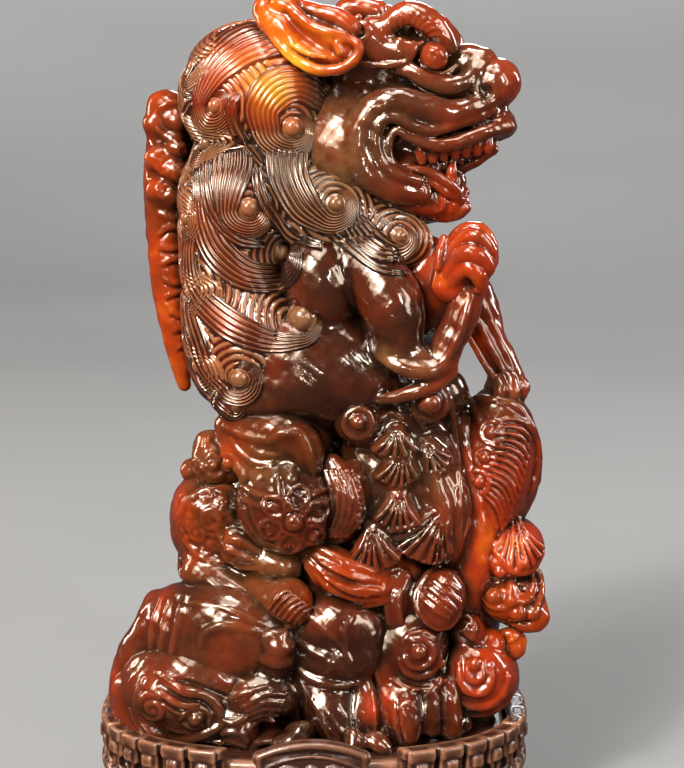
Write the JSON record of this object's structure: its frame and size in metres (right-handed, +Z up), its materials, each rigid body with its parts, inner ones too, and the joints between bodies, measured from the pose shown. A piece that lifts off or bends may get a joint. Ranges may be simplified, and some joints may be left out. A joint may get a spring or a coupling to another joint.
{
  "type": "carved lion figurine on stand",
  "caption": "Translucent red-brown carved guardian lion with cubs, rocks and cloud scrolls, resting in a fitted dark hardwood stand with a blocked rim.",
  "frame": {"origin": "under the middle of the bounding box, on the surface that the stand stands on", "axes": "+X the way the lion faces, -Y the front of the group, +Z up"},
  "size_m": [0.1104, 0.084, 0.2024],
  "materials": {
    "amber_dark": "polished translucent amber or resin, dark where it is thick",
    "amber_red": "polished translucent amber or resin, red",
    "amber_orange": "polished translucent amber or resin, orange where it is thin",
    "amber_hair": "finely grooved amber or resin with worn tan ridges",
    "hardwood": "dark red-brown hardwood, waxed"
  },
  "bodies": {
    "stand": {"stand_foot_front_left": "hardwood", "stand_foot_front_right": "hardwood", "stand_foot_back_left": "hardwood", "stand_foot_back_right": "hardwood", "stand_rail": "hardwood", "stand_waist": "hardwood", "stand_top": "hardwood", "stand_rim_left": "hardwood", "stand_rim_right": "hardwood", "stand_rim_front_left": "hardwood", "stand_rim_front_right": "hardwood", "stand_rim_back_left": "hardwood", "stand_rim_back_right": "hardwood", "stand_cartouche_front": "hardwood", "stand_cartouche_back": "hardwood"},
    "carving": {"carved_ground": "amber_dark", "rock_core": "amber_dark", "rock_front": "amber_dark", "rock_back": "amber_dark", "rock_right": "amber_red", "cloud_scroll_front": "amber_red", "cloud_scroll_right": "amber_red", "cloud_scroll_back": "amber_red", "pearl": "amber_orange", "brocade_ball": "amber_red", "sash_fold": "amber_red", "lower_paw": "amber_dark", "tufted_leg": "amber_dark", "hind_leg_near": "amber_orange", "lion_haunch_near": "amber_dark", "lion_haunch_far": "amber_dark", "lion_torso": "amber_dark", "lion_tail": "amber_orange", "raised_foreleg": "amber_dark", "raised_forepaw": "amber_orange", "reaching_foreleg": "amber_dark", "reaching_forepaw": "amber_dark", "mane_back": "amber_hair", "mane_nape": "amber_hair", "mane_crown": "amber_hair", "mane_ruff_near": "amber_hair", "mane_ruff_far": "amber_hair", "lion_skull": "amber_dark", "lion_snout": "amber_dark", "lion_lower_jaw": "amber_red", "lion_tongue": "amber_red", "lion_eye_near": "amber_red", "lion_eye_far": "amber_red", "lion_ear_near": "amber_orange", "lion_ear_far": "amber_orange", "climbing_cub_body": "amber_red", "climbing_cub_rump": "amber_red", "climbing_cub_head": "amber_orange", "left_cub_body": "amber_orange", "left_cub_head": "amber_orange", "left_cub_paw": "amber_orange", "crouching_cub_body": "amber_dark", "crouching_cub_head": "amber_red", "crouching_cub_paws": "amber_dark"}
  },
  "joints": [
    {"name": "carving_lift", "type": "slide", "parent": "stand", "child": "carving", "axis": [0, 0, 1], "range_m": [0, 0.02]}
  ]
}
